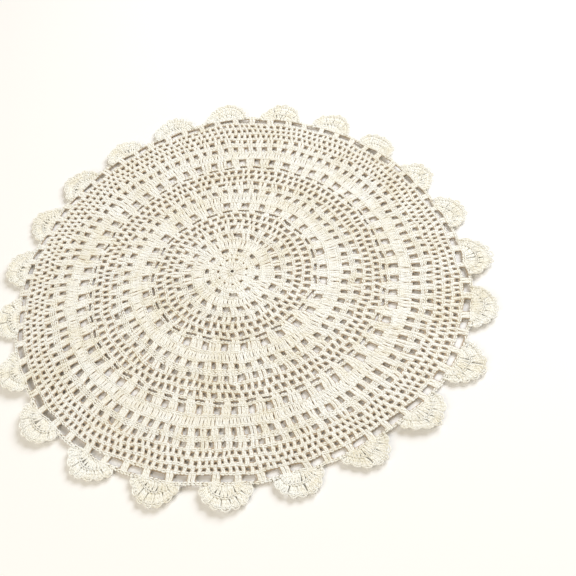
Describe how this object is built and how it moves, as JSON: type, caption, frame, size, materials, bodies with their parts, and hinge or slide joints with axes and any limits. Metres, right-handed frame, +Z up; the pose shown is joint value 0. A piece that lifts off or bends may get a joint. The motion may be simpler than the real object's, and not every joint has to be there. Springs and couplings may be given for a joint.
{
  "type": "lace doily",
  "caption": "Round cream cotton crochet doily lying flat, with openwork rounds, closed bands and a rim of fan shells.",
  "frame": {"origin": "on the table, under the middle of the doily's outline box", "axes": "+Z up, away from the table; +X and +Y lie in the table, with the tightest stretch of the rim towards -X"},
  "size_m": [0.3778, 0.3822, 0.0042],
  "materials": {
    "cotton_crochet": "matte cream mercerised cotton crochet thread"
  },
  "bodies": {
    "root": {"doily": "cotton_crochet"}
  },
  "joints": []
}
